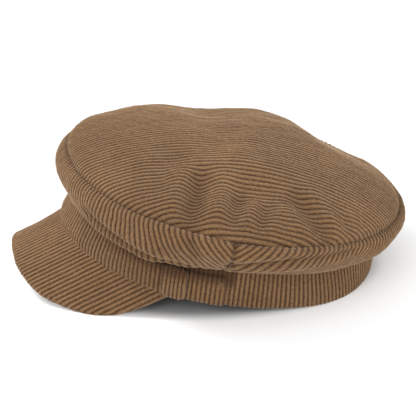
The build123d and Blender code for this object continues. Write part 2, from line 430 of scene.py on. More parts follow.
# painted light and shade: the ridge colour is lighter, as if lit, and the groove colour darker, as the
# grooves' shade; the groove colour also paints shade in seams and folds
RIDGE = (0.139, 0.078, 0.036, 1)
GROOVE_SHADE = (0.034, 0.015, 0.006, 1)
crown_cloth = corduroy_material("corduroy crown", RIDGE, GROOVE_SHADE, 0.30)
side_cloth = corduroy_material("corduroy side", RIDGE, GROOVE_SHADE, 0.22)
band_cloth = corduroy_material("corduroy band", RIDGE, GROOVE_SHADE, 0.22)
peak_cloth = corduroy_material("corduroy peak", RIDGE, GROOVE_SHADE, 0.28)


def weave_group():
    """Fine twill: slanting threads, uneven dye and a bump."""
    group, source, result = shader_group(
        "Twill weave",
        [
            ("Place", "NodeSocketVector", None),
            ("Light", "NodeSocketColor", (0.2, 0.15, 0.1, 1)),
            ("Dark", "NodeSocketColor", (0.1, 0.07, 0.05, 1)),
            ("Scale", "NodeSocketFloat", 900.0),
        ],
        [("Colour", "NodeSocketColor"), ("Normal", "NodeSocketVector")],
    )
    links = group.links
    wave = group.nodes.new("ShaderNodeTexWave")
    wave.bands_direction = "DIAGONAL"
    wave.inputs["Distortion"].default_value = 1.2
    wave.inputs["Detail"].default_value = 2.0
    wave.inputs["Detail Scale"].default_value = 1.5
    links.new(source.outputs["Place"], wave.inputs["Vector"])
    links.new(source.outputs["Scale"], wave.inputs["Scale"])
    cloud = noise_node(group, source.outputs["Place"], 60.0, 3.0, 0.6)
    colour = mix_colours(group, wave.outputs["Fac"], source.outputs["Dark"], source.outputs["Light"])
    shade = math_node(group, "MULTIPLY", cloud, 0.5)
    colour = mix_colours(group, shade, colour, source.outputs["Dark"])
    links.new(colour, result.inputs["Colour"])
    bump = group.nodes.new("ShaderNodeBump")
    bump.inputs["Strength"].default_value = 0.35
    bump.inputs["Distance"].default_value = 0.0002
    links.new(wave.outputs["Fac"], bump.inputs["Height"])
    links.new(bump.outputs[0], result.inputs["Normal"])
    return group


WEAVE = weave_group()


def woven_material(name, light, dark, scale, rough, sheen=0.1):
    """A plain or twill cloth in two close colours."""
    material, tree, shader = new_material(name)
    cloth = tree.nodes.new("ShaderNodeGroup")
    cloth.node_tree = WEAVE
    place = tree.nodes.new("ShaderNodeTexCoord")
    tree.links.new(place.outputs["Object"], cloth.inputs["Place"])
    cloth.inputs["Light"].default_value = light
    cloth.inputs["Dark"].default_value = dark
    cloth.inputs["Scale"].default_value = scale
    tree.links.new(cloth.outputs["Colour"], shader.inputs["Base Color"])
    tree.links.new(cloth.outputs["Normal"], shader.inputs["Normal"])
    shader.inputs["Roughness"].default_value = rough
    shader.inputs["Sheen Weight"].default_value = sheen
    return material


lining_cloth = woven_material("lining satin", (0.055, 0.035, 0.022, 1), (0.030, 0.019, 0.012, 1), 1400, 0.38)
sweat_cloth = woven_material("sweatband cotton", (0.10, 0.066, 0.042, 1), (0.050, 0.032, 0.020, 1), 700, 0.75)
tape_cloth = woven_material("label tape", (0.72, 0.68, 0.60, 1), (0.55, 0.51, 0.44, 1), 1000, 0.7)
padding = woven_material("interlining", (0.70, 0.68, 0.62, 1), (0.58, 0.56, 0.50, 1), 300, 0.9)
card = woven_material("stiffening board", (0.66, 0.64, 0.60, 1), (0.58, 0.56, 0.52, 1), 120, 0.8)
thread = woven_material("sewing thread", (0.105, 0.060, 0.030, 1), (0.060, 0.034, 0.017, 1), 2500, 0.7, 0.0)


# ---------------------------------------------------------------- crown top
def dome_table():
    """How far out and up the dome's face is, by its distance from the middle along the cloth."""
    t = np.linspace(0, 1, 400)
    out = (1 - t) ** 3 + 3 * (1 - t) ** 2 * t + 3 * (1 - t) * t**2 * MIDDLE_PULL
    up = 3 * (1 - t) ** 2 * t * EDGE_PULL + 3 * (1 - t) * t**2 + t**3
    out, up = out[::-1] * SEAM_RADIUS, up[::-1] * DOME_HEIGHT
    far = np.concatenate([[0], np.cumsum(np.hypot(np.diff(out), np.diff(up)))])
    return far, out, up


DOME_FAR, DOME_OUT, DOME_UP = dome_table()
TOP_REACH = DOME_FAR[-1]  # radius of the top panel, laid flat


def seam_lift(around):
    """How the round seam leaves its plane: up at the front, with small uneven dips."""
    lift = 2.2 * np.exp(-((from_front(around) / 0.55) ** 2))
    far_back = from_front(around + 2.15)
    lift = lift - 5.0 * np.exp(-((far_back / 0.65) ** 2))
    return lift + 0.5 * np.sin(3 * around + 0.4) + 0.4 * np.sin(5 * around + 1.9)


def top_shape(u, v):
    """The top panel's face over its flat pattern, with its sag and hollows."""
    far = np.hypot(u, v)
    around = np.arctan2(u, -v)
    out = np.interp(far, DOME_FAR, DOME_OUT)
    up = np.interp(far, DOME_FAR, DOME_UP)
    share = far / TOP_REACH
    x, y = out * np.sin(around), -out * np.cos(around)
    up = up + seam_lift(around) * share**4
    up = up + top_relief(x, y) * (1 - share**6) + top_creases(x, y) * (1 - share**14)
    tuck = 1.3 * np.exp(-(((TOP_REACH - far) / 2.2) ** 2))
    return crown_point(x, y, up - tuck), x, y


FAR_SAG = smooth_line(
    [(-105, 0), (-84, 7.1), (-63, 6.6), (-42, 8.7), (-21, 12.9), (0, 8.4), (21, 4.6), (42, 4.7)]
    + [(63, 10.4), (84, 11.3), (105, 5.2)]
)


def top_relief(x, y):
    """Soft hollows and ridges of the slack top panel, which leans to the wearer's left."""
    h = -np.interp(y, FAR_SAG[:, 0], FAR_SAG[:, 1]) * (1 - rise(x, -55, 30))
    h = h + 3.0 * np.exp(-(((x - 60) / 17) ** 2) - (((y - 6) / 44) ** 2))
    h = h - 4.2 * np.exp(-(((x - 84) / 13) ** 2) - (((y + 4) / 34) ** 2))
    h = h - 2.0 * np.exp(-(((x - 88) / 12) ** 2) - (((y - 52) / 16) ** 2))
    h = h + 1.4 * np.exp(-(((x - 50) / 22) ** 2) - (((y - 66) / 20) ** 2))
    h = h + 0.8 * waves(x, y, 21, 80)
    return h


def top_creases(x, y):
    """Short creases where the slack top meets its seam on the wearer's left."""
    h = crease(x, y, (111, -40), (66, -31), 7.5, 5.2)
    h = h + crease(x, y, (111, -14), (84, -6), 5.0, 2.2)
    h = h + crease(x, y, (111, 4), (90, 11), 4.5, 1.9)
    h = h + crease(x, y, (106, 54), (78, 27), 6.5, 3.4)
    h = h + crease(x, y, (100, 72), (80, 60), 5.0, 1.6)
    h = h + crease(x, y, (40, -44), (84, -60), 9.0, 1.2)
    h = h + crease(x, y, (10, -16), (56, -28), 11.0, 1.5)
    return h + 0.30 * waves(x, y, 22, 26)


def make_crown_top():
    """The round top panel, its ribs running from front to back."""
    across = rib_places(-TOP_REACH + 0.3, TOP_REACH - 0.3)
    rows = 110
    t = np.linspace(-1, 1, rows)
    t = np.sin(t * math.pi / 2) * 0.55 + t * 0.45
    u = np.repeat(across[:, None], rows, 1)
    half = np.sqrt(TOP_REACH**2 - across**2)
    v = half[:, None] * t[None, :]
    points, x, y = top_shape(u, v)
    far = np.hypot(u, v)
    height = RIB * (0.35 + 0.65 * rise(TOP_REACH - far, 0.0, 3.0))
    # painted shade: the colour is darkened in the creases and hollows on the wearer's left and in the tuck
    # along the round seam
    painted_hollow_shade = np.clip(-(top_creases(x, y) + 0.35 * top_relief(x, y)) * 0.10, 0, 0.45) * rise(x, 0, 50)
    shade = np.clip(0.5 * np.exp(-(((TOP_REACH - far) / 1.6) ** 2)) + painted_hollow_shade, 0, 1)
    obj = ribbed("crown_top_cloth", points, u, v, crown_cloth, height, shade=shade)
    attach(obj, "cap")
    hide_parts("crown_top")


# ---------------------------------------------------------------- crown side
SIDE_SEAM = math.radians(85.5)  # round angle of the side seams
FLAT_HALF = math.radians(50)  # half the angle of each side panel, laid flat
FLAT_OUT = 212.0  # flat radius of the panel's edge at the round seam
DROP = 58.0  # from the round seam down to the fold and back up to the band's top


def side_rings(around):
    """The side's profile at a place round the cap: distance down the cloth, and the place."""
    s, c = np.sin(around), -np.cos(around)
    lift = seam_lift(around)
    tucked = crown_point((SEAM_RADIUS - 4) * s, (SEAM_RADIUS - 4) * c, lift - 4.5)
    seam = crown_point((SEAM_RADIUS + 0.6) * s, (SEAM_RADIUS + 0.6) * c, lift - 1.0)
    front = np.cos(around)
    full_front = rise(front, 0.45, 0.95)

    def ring(down, wide, long, back, high, tip=0.0, pull=0.0):
        out = long - pull * full_front
        return down, cap_point(wide * s, out * c + back, high + tip * front)

    return [
        (0.0, tucked),
        (2.2, seam),
        ring(5.0, 117.6, 118.6, 4.0, 51.8, 5.0, 0.0),
        ring(12.0, 118.8, 119.4, 3.6, 45.8, 3.4, 0.5),
        ring(21.0, 114.8, 116.6, 3.2, 38.0, 2.6, 3.0),
        ring(30.0, 106.6, 113.2, 1.8, 31.8, 2.6, 5.0),
        ring(39.0, 98.6, 110.9, 0.6, 27.6, 3.0, 6.5),
        ring(44.0, 94.0, 110.2, 0.2, 26.0, 3.4, 7.0),
        ring(46.5, 91.6, 109.9, 0.0, 25.8, 3.6, 7.2),
        ring(48.5, 90.1, 109.5, 0.0, 27.2, 3.4, 7.0),
        ring(54.0, 88.8, 109.0, 0.0, 31.0, 2.0, 6.0),
        ring(58.0, 87.0, 107.2, 0.0, 34.2, 1.0, 4.0),
    ]


def side_shape(around, down):
    """The side's smooth face."""
    rings = side_rings(around)
    place = np.zeros(around.shape + (3,))
    for i in range(len(rings) - 1):
        d0, b = rings[i]
        d1, c = rings[i + 1]
        a = rings[i - 1][1] if i > 0 else 2 * b - c
        d = rings[i + 2][1] if i + 2 < len(rings) else 2 * c - b
        da = d0 - (rings[i - 1][0] if i > 0 else 2 * d0 - d1)
        dd = (rings[i + 2][0] if i + 2 < len(rings) else 2 * d1 - d0) - d1
        span = d1 - d0
        m0 = (c - a) / (span + da) * span
        m1 = (d - b) / (span + dd) * span
        t = np.clip((down - d0) / span, 0, 1)[..., None]
        here = (down >= d0) & (down <= d1)
        curve = (
            (2 * t**3 - 3 * t**2 + 1) * b
            + (t**3 - 2 * t**2 + t) * m0
            + (-2 * t**3 + 3 * t**2) * c
            + (t**3 - t**2) * m1
        )
        place = np.where(here[..., None], curve, place)
    return place


# each fold of the side panels: where it starts and ends, its width and its depth
SIDE_FOLDS = [
    ((62, 17), (126, 29), 4.0, 7.5),
    ((112, 25), (158, 38), 4.0, 6.5),
    ((164, 23), (208, 10), 3.4, 3.2),
    ((200, 11), (252, 6), 3.2, 2.0),
    ((139, 4), (146, 18), 4.0, 1.8),
    ((-80, 28), (-165, 40), 5.0, 3.4),
    ((-190, 38), (-262, 22), 4.5, 2.8),
    ((20, 30), (-24, 33), 5.0, 1.5),
]


def side_relief(around, down):
    """Folds and slack of the side panels, out of their face."""
    arc = from_front(around) * SIDE_ARC
    h = 0.9 * waves(arc, down * 1.5, 31, 60)
    h = h + 2.6 * np.exp(-(((arc - 108) / 40) ** 2) - (((down - 15) / 7) ** 2))
    for start, end, width, depth in SIDE_FOLDS:
        h = h + crease(arc, down, start, end, width, depth)
    return h * rise(down, 0, 6) * (1 - rise(down, 41, 47))


def side_shade(around, down):
    """Painted shade in the bottoms of the side's folds: how far their colour is darkened."""
    arc = from_front(around) * SIDE_ARC
    dark = 0 * arc
    for start, end, width, depth in SIDE_FOLDS:
        dark = dark + np.maximum(-crease(arc, down, start, end, width * 0.8, depth, 0.0), 0) * 0.17
    return dark * rise(down, 0, 6) * (1 - rise(down, 41, 47))


def make_crown_side(name, node, back):
    """Half of the crown's side, its ribs upright at the middle and slanting at the side seams."""
    inner = FLAT_OUT - DROP
    edge = FLAT_OUT * math.sin(FLAT_HALF)
    across = rib_places(-edge + 0.4, edge - 0.4)
    steps = np.concatenate(
        [
            np.linspace(0, 40, 34, endpoint=False),
            np.linspace(40, 50, 14, endpoint=False),
            np.linspace(50, DROP, 6),
        ]
    )
    flat = FLAT_OUT - steps
    low = np.maximum(inner, np.abs(across) / math.sin(FLAT_HALF))
    radius = np.maximum(flat[None, :], low[:, None])
    turn = np.arcsin(np.clip(across[:, None] / radius, -1, 1))
    half_turn = SIDE_SEAM if not back else math.pi - SIDE_SEAM
    around = turn / FLAT_HALF * half_turn
    down = FLAT_OUT - radius
    if back:
        around = math.pi - around
    along = np.sqrt(np.maximum(radius**2 - across[:, None] ** 2, 0))
    base = side_shape(around, down)
    n = -normals_of(base) if not back else normals_of(base)
    relief = side_relief(around, down)
    base = base + n * relief[..., None]
    to_side = np.abs(np.abs(from_front(around)) - SIDE_SEAM) * SIDE_ARC
    tuck = 1.0 * np.exp(-((to_side / 1.8) ** 2)) * (1 - rise(down, 42, 46))
    base = base - n * tuck[..., None]
    height = RIB * (0.35 + 0.65 * rise(to_side, 0, 2.5)) * (0.35 + 0.65 * rise(down, 0, 3))
    height = height * (1 - 0.6 * rise(down, 47, 52))
    # painted shade: the colour is darkened in the side seams, along the round seam, in the bottoms of the
    # folds and under the fold above the band
    shade = 0.6 * np.exp(-((to_side / 1.5) ** 2)) + 0.6 * np.exp(-((down / 2.2) ** 2))
    shade = np.clip(shade + side_shade(around, down) + 0.7 * rise(down, 43, 48), 0, 1)
    obj = ribbed(name, base, across[:, None] + 0 * base[..., 0], along, side_cloth, height, not back, shade)
    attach(obj, "cap")
    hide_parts(node)


# ---------------------------------------------------------------- band, strap, keepers
def oval(around, size):
    """A place on an oval about the head."""
    return size[0] * np.sin(around), -size[1] * np.cos(around)


def oval_table(size, count=4000):
    """Round angle by distance along an oval from its front."""
    around = np.linspace(-math.pi, 2 * math.pi, count)
    x, y = oval(around, size)
    far = np.concatenate([[0], np.cumsum(np.hypot(np.diff(x), np.diff(y)))])
    return far - np.interp(0, around, far), around


def settle(around, up):
    """How the band and its layers lean back over the peak, and spread near the back of the hem."""
    lean = 4.5 * rise(up, 4, 20) * rise(np.cos(around), 0.45, 0.95)
    turn = np.abs(from_front(around))
    corner = np.exp(-(((turn - 2.25) / 0.42) ** 2))
    return corner * (5.5 * (1 - rise(up, 0, 26)) - 1.5 * rise(up, 12, 30)) - lean


def wrap(
    name,
    size,
    low,
    high,
    profile,
    material,
    pitch=WALE,
    height=RIB,
    bulge=0.0,
    seed=0,
    edge=0.0,
    corners=0.0,
):
    """A strip round the head. The profile gives steps out of the oval and up from the hem.

    Edge rounds off the strip's two ends, and corners rounds off its lower corners.
    """
    far, table = oval_table(size)
    a0, a1 = np.interp([low, high], table, far)
    across = rib_places(a0, a1, pitch)
    around = np.interp(across, far, table)
    steps = np.array(profile, float)
    along = np.concatenate([[0], np.cumsum(np.hypot(np.diff(steps[:, 0]), np.diff(steps[:, 1])))])
    out = steps[None, :, 0] + bulge * np.sin(np.clip(steps[None, :, 1] / STRAP_WIDTH, 0, 1) * math.pi)
    out = out + 0.25 * waves(across[:, None], steps[None, :, 1] * 2, 41 + seed, 60)
    if edge:
        near = np.minimum(across - across[0], across[-1] - across)
        inside = np.clip(1 - near / edge, 0, 1)
        out = out - (edge * (1 - np.sqrt(1 - inside**2)))[:, None]
    up = steps[None, :, 1]
    turn = np.abs(from_front(around))
    out = out + settle(around[:, None], up)
    if corners:
        inside = np.clip(1 - near / corners, 0, 1)
        raised = corners * (1 - np.sqrt(1 - inside**2))[:, None]
        up = up + raised * (1 - rise(up, 0, 12)) - raised * rise(up, 14, 20)
    x = (size[0] + out) * np.sin(around)[:, None]
    y = -(size[1] + out) * np.cos(around)[:, None]
    x0, y0 = oval(around, size)
    h = hem_height(x0, y0)[:, None] + up
    points = cap_point(x, y, h)
    wide = across[:, None] + 0 * points[..., 0]
    long = along[None, :] + 0 * points[..., 0]
    # painted shade: the cloth's colour is darkened where the crown's fold hangs over the front, on the band
    # above the strap and on the strap's top, on top of the fold's real shadow
    covered = (np.abs(turn) < 1.6)[:, None] + 0 * points[..., 0]
    if size == BAND:
        shade = covered * rise(up, 10, 16)
    else:
        shade = covered * rise(up, 11.0, 18.5) * rise(np.abs(turn), 0.5, 1.0)[:, None]
    # painted shade at the strip's rounded ends
    if edge:
        shade = shade + 0.9 * np.exp(-((near / 1.1) ** 2))[:, None]
    obj = ribbed(name, points, wide, long, material, height, shade=shade, pitch=pitch)
    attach(obj, "cap")
    return obj


def wall_profile(top, thick=1.6, roll=1.1, count=14):
    """Out-and-up steps of a strip with a rolled lower edge, from its inside round to its top."""
    steps = [(-thick, 6.0), (-thick, 3.0), (-thick, roll * 0.8)]
    for k in range(7):
        turn = math.pi * (1 - k / 6)
        steps.append((-thick / 2 + thick / 2 * math.cos(turn), roll * 0.8 - roll * 0.8 * math.sin(turn)))
    steps += [(0, u) for u in np.linspace(roll, top, count)[1:]]
    return steps


def make_band():
    """The band's two halves, with upright ribs and a rolled hem."""
    top = 36.0
    half = math.pi / 2
    back = wrap("band_back_cloth", BAND, half, 3 * half - 1e-4, wall_profile(top), band_cloth, seed=1)
    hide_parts("band_back")
    front = wrap(
        "band_front_cloth", BAND, -half, half, wall_profile(top), band_cloth, height=0.2, seed=2
    )
    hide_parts("band_front")


# ---------------------------------------------------------------- peak
RIM_LINE = smooth_line([(HEAD_Y + a, b) for a, b in RIM])
PEAK_THICK = 5.4


def peak_point(across, along, depth=0.0):
    """A point on the peak: round its arch, forward along its slope, and down into it."""
    turn = across / ARCH
    r = ARCH - depth - 7.0 * rise(-across, 0, 60) * rise(along, -14, 16)
    c, s = math.cos(DROOP), math.sin(DROOP)
    up = r * np.cos(turn) - ARCH
    return stack(r * np.sin(turn), ROOT_Y - along * c - up * s, ROOT_Z - along * s + up * c)


def peak_limits(across, inset):
    """Where each line along the peak starts, under the strap, and ends, at the rim."""
    along = np.linspace(-75, 60, 2700)
    p = peak_point(across[:, None], along[None, :])
    rim = np.interp(p[..., 1], RIM_LINE[:, 0], RIM_LINE[:, 1], left=1e3)
    c, s = math.cos(PITCH), math.sin(PITCH)
    y = (p[..., 1] - HEAD_Y) * c - (p[..., 2] - PLANE_Z) * s
    size = (STRAP[0] - inset, STRAP[1] - inset)
    outside_band = (p[..., 0] / size[0]) ** 2 + (y / size[1]) ** 2 > 1
    inside = (p[..., 2] > rim) & outside_band & (y < TAIL_Y + 1.0)
    first = np.argmax(inside, axis=1)
    last = inside.shape[1] - 1 - np.argmax(inside[:, ::-1], axis=1)
    return inside.any(axis=1), along[first], along[last]


def rim_distance(across, along):
    """How far a place on the peak is from its rim, along the cloth."""
    turns = np.linspace(-118, 118, 1200)
    some, _, end = peak_limits(turns, 1.0)
    line = np.stack([turns[some], end[some]], -1)
    a, b = line[:-1], line[1:]
    d = b - a
    length2 = (d**2).sum(1)
    flat = np.stack([across.ravel(), along.ravel()], -1)
    best = np.full(len(flat), 1e9)
    for start in range(0, len(line) - 1, 60):
        aa, dd, ll = a[start : start + 60], d[start : start + 60], length2[start : start + 60]
        t = np.clip(((flat[:, None] - aa) * dd).sum(-1) / ll, 0, 1)
        off = np.linalg.norm(flat[:, None] - aa - t[..., None] * dd, axis=-1)
        best = np.minimum(best, off.min(1))
    return best.reshape(across.shape)


def make_peak(name, node, layer):
    """The top or under cover of the peak, which meet half way round its rolled edge, or its board."""
    half = PEAK_THICK / 2
    margin = 4.0 if layer == "board" else 1.0
    turns = np.linspace(0, 118, 1500)
    some, start, end = peak_limits(turns, margin)
    widest = turns[some & (end - start > 0.3)].max()
    across = rib_places(-widest, widest)
    _, start, end = peak_limits(across, margin)
    t = 1 - (1 - np.linspace(0, 1, 64) ** 0.8) ** 1.6
    along = start[:, None] + (end - start)[:, None] * t[None, :]
    wide = across[:, None] + 0 * along
    sway = 0.5 * waves(wide, along, 51, 90) * rise(along, -10, 30)
    if layer == "board":
        along = np.minimum(along, end[:, None] - 3.5)
        points = peak_point(wide, along, half + sway)
        obj = grid_mesh(name, points, np.stack([wide / 10, along / 10], -1))
        obj.data.materials.append(card)
    else:
        under = layer == "under"
        near = rim_distance(wide, along)
        near[:, -1] = 0
        k = np.clip(1 - near / half, 0, 1)
        round_off = half * (1 - np.sqrt(1 - k**2))
        depth = PEAK_THICK - round_off if under else round_off
        points = peak_point(wide, along, depth + sway)
        height = RIB * (0.9 - 0.5 * rise(k, 0.5, 1.0))
        obj = ribbed(name, points, wide, along, peak_cloth, height, flip=not under)
    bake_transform(obj)
    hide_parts(node)
    return obj


# ---------------------------------------------------------------- inside layers
def inner_top(name, node, depth, material, pleats=0.0):
    """A round panel under the crown's top, following its hollows."""
    turn = np.linspace(-math.pi, math.pi, 241)
    far = np.linspace(0.02, TOP_REACH - 17.0, 60)
    around, out = turn[:, None] + 0 * far[None, :], far[None, :] + 0 * turn[:, None]
    u, v = out * np.sin(around), -out * np.cos(around)
    points = top_shape(u, v)[0]
    n = normals_of(points)
    n = n * np.sign(n[..., 2:3] + 1e-9)
    folds = pleats * np.sin(24 * around + 2 * waves(u, v, 61, 90)) * rise(out, 50, TOP_REACH - 8)
    folds = folds * (1 - rise(out, TOP_REACH - 8, TOP_REACH - 2))
    points = points - n * (depth + np.abs(folds))[..., None]
    uv = np.stack([u / 10, v / 10], -1)
    obj = grid_mesh(name, points, uv)
    obj.data.materials.append(material)
    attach(obj, "cap")
    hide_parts(node)
    return obj


def make_lining_side():
    """The lining inside the crown's side, down to the top of the sweatband."""
    turn = np.linspace(-math.pi, math.pi, 361)
    steps = np.linspace(6.0, 34.0, 26)
    around, down = turn[:, None] + 0 * steps[None, :], steps[None, :] + 0 * turn[:, None]
    base = side_shape(around, down)
    n = normals_of(base)
    outward = stack(np.sin(around), -np.cos(around), 0.9 * (1 - rise(down, 6, 16)))
    n = n * np.sign((n * outward).sum(-1, keepdims=True) + 1e-9)
    folds = 1.3 * np.sin(20 * around + 1.5 * np.sin(3 * around)) ** 2 * rise(down, 2, 14)
    base = base - n * (3.6 + folds)[..., None]
    ends = []
    for out, high in ((3.0, 32.6), (1.6, 32.2), (0.6, 32.0), (0.3, 30.0)):
        foot = [half + out + settle(turn, high) for half in LINING_FOOT]
        x, y = oval(turn, foot)
        ends.append(cap_point(x, y, high + 0.0 * turn))
    last = base[:, -1]
    bridge = [last * (1 - t) + ends[0] * t for t in (0.25, 0.5, 0.75)]
    bridge = [b - np.array([0, 0, 1.6 * math.sin(t * math.pi)]) for b, t in zip(bridge, (0.25, 0.5, 0.75))]
    points = np.concatenate([base, np.stack(bridge + ends, 1)], 1)
    rows = np.arange(points.shape[1])[None, :] * 0.13
    uv = np.stack(np.broadcast_arrays(turn[:, None] * 11, rows), -1)
    obj = grid_mesh("lining_side_cloth", points, uv, flip=True)
    obj.data.materials.append(lining_cloth)
    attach(obj, "cap")
    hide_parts("lining_side")


def make_sweatband():
    """The soft band against the head: folded at the hem, slightly puckered by its stitching."""
    size = SWEATBAND
    far, table = oval_table(size)
    a0, a1 = np.interp([-math.pi, math.pi], table, far)
    across = np.linspace(a0, a1, 900)
    around = np.interp(across, far, table)
    steps = [(1.1, 6.0), (1.1, 0.7), (0.9, 0.2), (0.55, 0.0), (0.2, 0.2), (0.0, 0.7)]
    steps += [(0, u) for u in np.linspace(1.8, 31.8, 22)]
    steps += [(0.25, 32.5), (0.6, 32.8), (1.0, 32.5), (1.1, 31.0)]
    steps = np.array(steps)
    up = steps[None, :, 1]
    pucker = 0.22 * np.sin(across[:, None] / 1.6 + waves(across, 0 * across, 71, 30)[:, None] * 2)
    pucker = pucker * np.exp(-(((up - 3.0) / 2.2) ** 2)) - 0.25 * np.exp(-(((up - 3.0) / 0.7) ** 2))
    slack = 0.35 * waves(across[:, None], up * 2, 72, 45) * rise(up, 5, 14)
    out = steps[None, :, 0] - (pucker + slack) * (steps[None, :, 0] < 0.1)
    out = out + settle(around[:, None], up)
    x = (size[0] + out) * np.sin(around)[:, None]
    y = -(size[1] + out) * np.cos(around)[:, None]
    x0, y0 = oval(around, size)
    h = hem_height(x0, y0)[:, None] * (1 - up / 33.0) + up
    points = cap_point(x, y, h)
    uv = np.stack(np.broadcast_arrays(across[:, None] / 10, up / 10), -1)
    obj = grid_mesh("sweatband_cloth", points, uv)
    obj.data.materials.append(sweat_cloth)
    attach(obj, "cap")
    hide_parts("sweatband")


# ---------------------------------------------------------------- stitches
def stitch_nodes():
    """Geometry nodes that lay a rounded stitch at even steps along a line."""
    group = bpy.data.node_groups.new("Stitch line", "GeometryNodeTree")
    face = group.interface
    face.new_socket("Geometry", in_out="INPUT", socket_type="NodeSocketGeometry")
    for label, value in (("Step", 0.003), ("Length", 0.0022), ("Thickness", 0.00035)):
        socket = face.new_socket(label, in_out="INPUT", socket_type="NodeSocketFloat")
        socket.default_value = value
    face.new_socket("Material", in_out="INPUT", socket_type="NodeSocketMaterial")
    face.new_socket("Geometry", in_out="OUTPUT", socket_type="NodeSocketGeometry")
    nodes, links = group.nodes, group.links
    source, result = nodes.new("NodeGroupInput"), nodes.new("NodeGroupOutput")
    curve = nodes.new("GeometryNodeMeshToCurve")
    points = nodes.new("GeometryNodeCurveToPoints")
    points.mode = "LENGTH"
    ball = nodes.new("GeometryNodeMeshIcoSphere")
    ball.inputs["Radius"].default_value = 0.5
    ball.inputs["Subdivisions"].default_value = 2
    size = nodes.new("ShaderNodeCombineXYZ")
    put = nodes.new("GeometryNodeInstanceOnPoints")
    real = nodes.new("GeometryNodeRealizeInstances")
    paint = nodes.new("GeometryNodeSetMaterial")
    links.new(source.outputs["Geometry"], curve.inputs[0])
    links.new(curve.outputs[0], points.inputs["Curve"])
    links.new(source.outputs["Step"], points.inputs["Length"])
    links.new(points.outputs["Points"], put.inputs["Points"])
    links.new(points.outputs["Rotation"], put.inputs["Rotation"])
    links.new(ball.outputs[0], put.inputs["Instance"])
    links.new(source.outputs["Thickness"], size.inputs[0])
    links.new(source.outputs["Thickness"], size.inputs[1])
    links.new(source.outputs["Length"], size.inputs[2])
    links.new(size.outputs[0], put.inputs["Scale"])
    links.new(put.outputs[0], real.inputs[0])
    links.new(real.outputs[0], paint.inputs["Geometry"])
    links.new(source.outputs["Material"], paint.inputs["Material"])
    links.new(paint.outputs[0], result.inputs[0])
    return group


STITCH = stitch_nodes()


def stitches(name, line, step, length, thick):
    """Stitches along a line of points in millimetres, as a piece."""
    mesh = bpy.data.meshes.new(name + "_line")
    points = np.asarray(line) * 0.001
    mesh.from_pydata(points.tolist(), [(k, k + 1) for k in range(len(points) - 1)], [])
    guide = bpy.data.objects.new(name + "_line", mesh)
    bpy.context.scene.collection.objects.link(guide)
    layer = guide.modifiers.new("Stitch line", "NODES")
    layer.node_group = STITCH
    sockets = {i.name: i.identifier for i in STITCH.interface.items_tree if i.in_out == "INPUT"}
    layer[sockets["Step"]] = step * 0.001
    layer[sockets["Length"]] = length * 0.001
    layer[sockets["Thickness"]] = thick * 0.001
    layer[sockets["Material"]] = thread
    bpy.context.view_layer.update()
    graph = bpy.context.evaluated_depsgraph_get()
    made = bpy.data.meshes.new_from_object(guide.evaluated_get(graph))
    bpy.data.objects.remove(guide)
    made.name = name
    made.shade_smooth()
    if not made.materials:
        made.materials.append(thread)
    obj = bpy.data.objects.new(name, made)
    bpy.context.scene.collection.objects.link(obj)
    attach(obj, "cap")


def oval_line(size, low, high, up, out=0.0, count=400):
    """A line round the head at a height over the hem."""
    around = np.linspace(low, high, count)
    x0, y0 = oval(around, size)
    out = out + settle(around, up)
    x = (size[0] + out) * np.sin(around)
    y = -(size[1] + out) * np.cos(around)
    return cap_point(x, y, hem_height(x0, y0) + up)


# ---------------------------------------------------------------- build the pieces
make_crown_top()
make_crown_side("crown_side_front_cloth", "crown_side_front", False)
make_crown_side("crown_side_back_cloth", "crown_side_back", True)
make_band()
STRAP_END = 1.541  # round angle at which the strap stops, just before the side seam
strap_edge = wall_profile(STRAP_WIDTH - 1.0, thick=2.0, roll=1.4)
strap_edge += [(-0.4, STRAP_WIDTH - 0.3), (-1.0, STRAP_WIDTH)]
strap = wrap(
    "front_strap_cloth",
    STRAP,
    -STRAP_END,
    STRAP_END,
    strap_edge,
    band_cloth,
    height=RIB * 0.9,
    bulge=0.5,
    seed=3,
    edge=1.2,
)
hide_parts("front_strap")

KEEPER = (92.8, 112.9)
KEEPER_AT = math.acos(32.5 / 108.0) - 0.03  # round angle of a keeper's middle
KEEPER_HALF = 7.25 / 93.0  # half its width, as a round angle
keeper_edge = [(-1.6, 4.0)] + wall_profile(STRAP_WIDTH + 0.6, thick=2.4, roll=1.7)[2:]
keeper_edge += [(-0.5, STRAP_WIDTH + 1.5), (-1.5, STRAP_WIDTH + 2.0)]
for side, label in ((1, "left"), (-1, "right")):
    low, high = sorted((side * (KEEPER_AT - KEEPER_HALF), side * (KEEPER_AT + KEEPER_HALF)))
    keeper = wrap(
        f"strap_keeper_{label}_cloth",
        KEEPER,
        low,
        high,
        keeper_edge,
        band_cloth,
        pitch=2.6,
        bulge=1.4,
        seed=4,
        edge=3.2,
        corners=5.0,
    )
    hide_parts(f"strap_keeper_{label}")

for name, node, layer, slot in (
    ("peak_top_cloth", "peak_top_cover", "top", "corduroy"),
    ("peak_under_cloth", "peak_under_cover", "under", "corduroy"),
    ("peak_board_sheet", "peak_board", "board", "stiffener"),
):
    make_peak(name, node, layer)
interlining = inner_top("crown_interlining_sheet", "crown_interlining", 2.3, padding)
lining = inner_top("lining_top_cloth", "lining_top", 3.2, lining_cloth, 0.9)
make_lining_side()
make_sweatband()
stiffener_steps = [(0, 2), (0, 16), (0, 31)]
stiffener = wrap(
    "band_stiffener_sheet", STIFFENER, -math.pi, math.pi, stiffener_steps, card, height=0
)
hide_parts("band_stiffener")

for label, low, high in (
    ("strap_hem_seam", -1.2, 1.2),
    ("strap_tail_seam_left", 1.30, 1.50),
    ("strap_tail_seam_right", -1.50, -1.30),
):
    stitches(label, oval_line(STRAP, low, high, 3.2, 0.35), 2.6, 1.9, 0.45)
sweat_line = oval_line(SWEATBAND, -math.pi, math.pi, 3.0, 0.12, 900)
stitches("sweatband_seam", sweat_line, 3.0, 2.2, 0.45)

